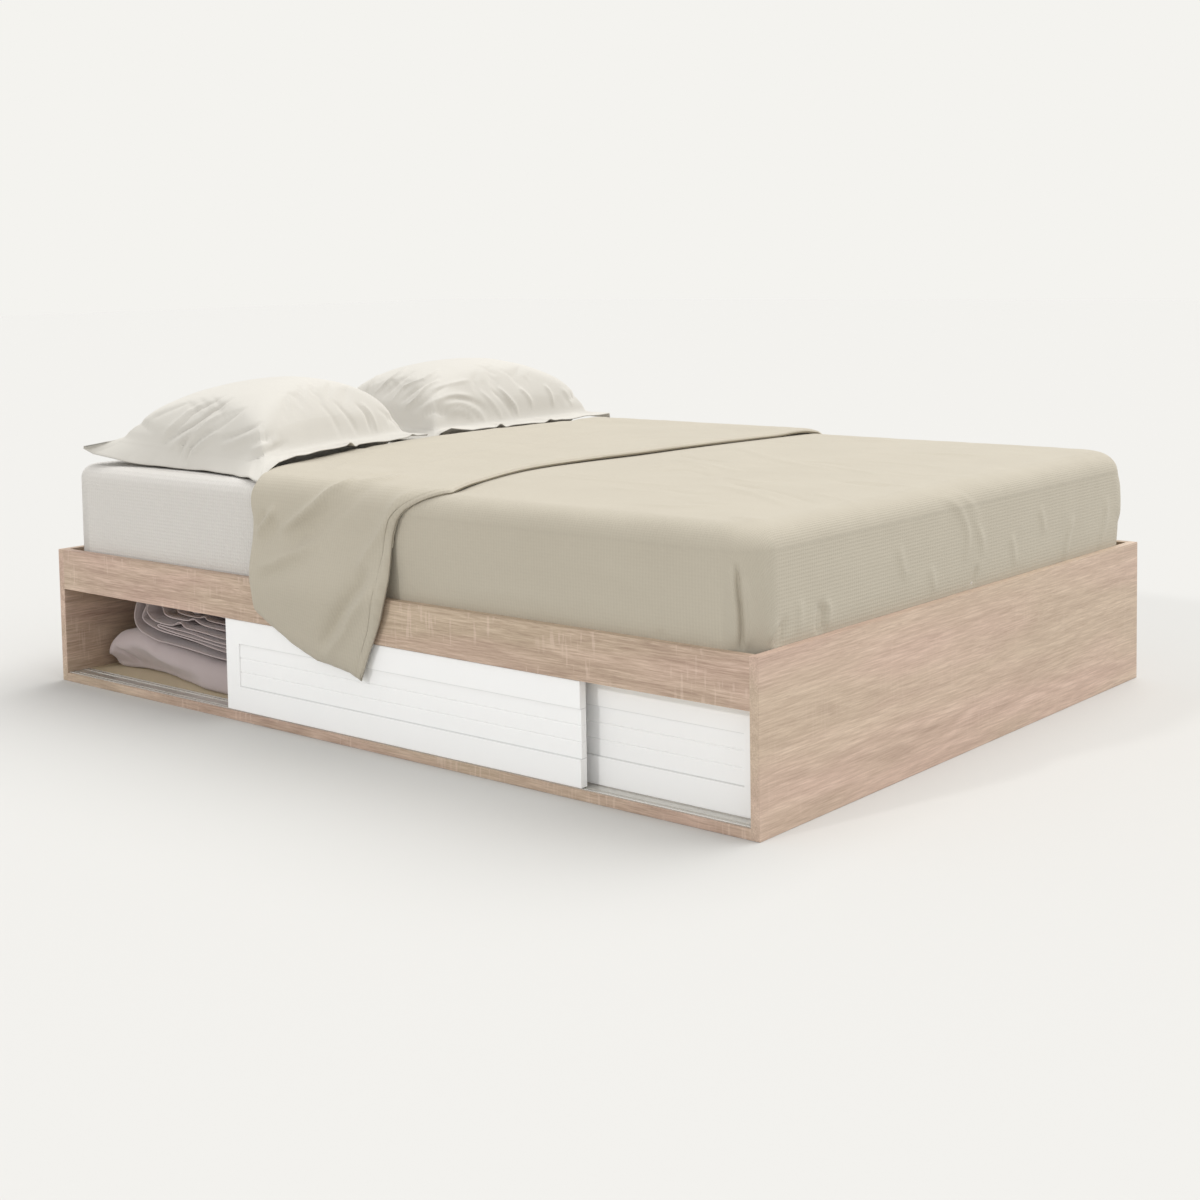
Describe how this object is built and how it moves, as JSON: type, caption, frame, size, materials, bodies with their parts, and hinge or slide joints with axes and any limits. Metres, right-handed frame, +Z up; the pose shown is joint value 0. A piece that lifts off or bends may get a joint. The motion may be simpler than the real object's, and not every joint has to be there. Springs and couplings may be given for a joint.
{
  "type": "storage bed",
  "caption": "Low slatted bed with a storage space behind two sliding doors, made up with mattress, sheet, folded-back duvet and pillows",
  "frame": {"origin": "on the floor, under the middle of the bed frame", "axes": "+X runs from the head end to the foot end, +Y from the door side to the far side, +Z up"},
  "size_m": [1.944, 1.4788, 0.6805],
  "materials": {
    "oak_laminate": "oak-look melamine laminate, satin, fine brushed grain",
    "white_laminate": "white foil on milled board, satin",
    "track_metal": "satin anodised profile",
    "guide_plastic": "extruded, satin",
    "nylon": "moulded, satin",
    "pine": "planed, unfinished",
    "beech": "fluted, unfinished",
    "zinc": "zinc plated",
    "webbing": "woven polyester tape",
    "mattress_cover": "knitted cover",
    "sheet_cotton": "fine plain weave",
    "duvet_linen": "plain weave with a fine rib",
    "pillow_cotton": "fine plain weave",
    "blanket_wool": "soft brushed"
  },
  "bodies": {
    "bed": {"head_panel": "oak_laminate", "foot_panel": "oak_laminate", "front_rail": "oak_laminate", "rear_panel": "oak_laminate", "storage_floor": "oak_laminate", "centre_partition": "oak_laminate", "cross_divider": "oak_laminate", "front_ledger": "pine", "rear_ledger": "pine", "bottom_track": "track_metal", "front_top_guide": "guide_plastic", "rear_top_guide": "guide_plastic", "slat_tapes": "webbing", "cam_locks": "zinc", "cam_bolts": "zinc", "dowels": "beech", "ledger_screws": "zinc", "slat_screws": "zinc", "slat_1": "pine", "slat_2": "pine", "slat_3": "pine", "slat_4": "pine", "slat_5": "pine", "slat_6": "pine", "slat_7": "pine", "slat_8": "pine", "slat_9": "pine", "slat_10": "pine", "slat_11": "pine", "slat_12": "pine", "slat_13": "pine", "mattress": "mattress_cover", "fitted_sheet": "sheet_cotton", "duvet": "duvet_linen", "duvet_turnback": "duvet_linen", "near_pillow": "pillow_cotton", "far_pillow": "pillow_cotton", "lower_blanket": "blanket_wool", "upper_blanket": "blanket_wool"},
    "front_door": {"front_door_panel": "white_laminate", "front_door_glides": "nylon", "front_door_pins": "nylon"},
    "rear_door": {"rear_door_panel": "white_laminate", "rear_door_glides": "nylon", "rear_door_pins": "nylon"}
  },
  "joints": [
    {"name": "front_door_slide", "type": "slide", "parent": "bed", "child": "front_door", "axis": [1, 0, 0], "range_m": [-0.5725, 0.364]},
    {"name": "rear_door_slide", "type": "slide", "parent": "bed", "child": "rear_door", "axis": [1, 0, 0], "range_m": [-0.9365, 0]}
  ]
}
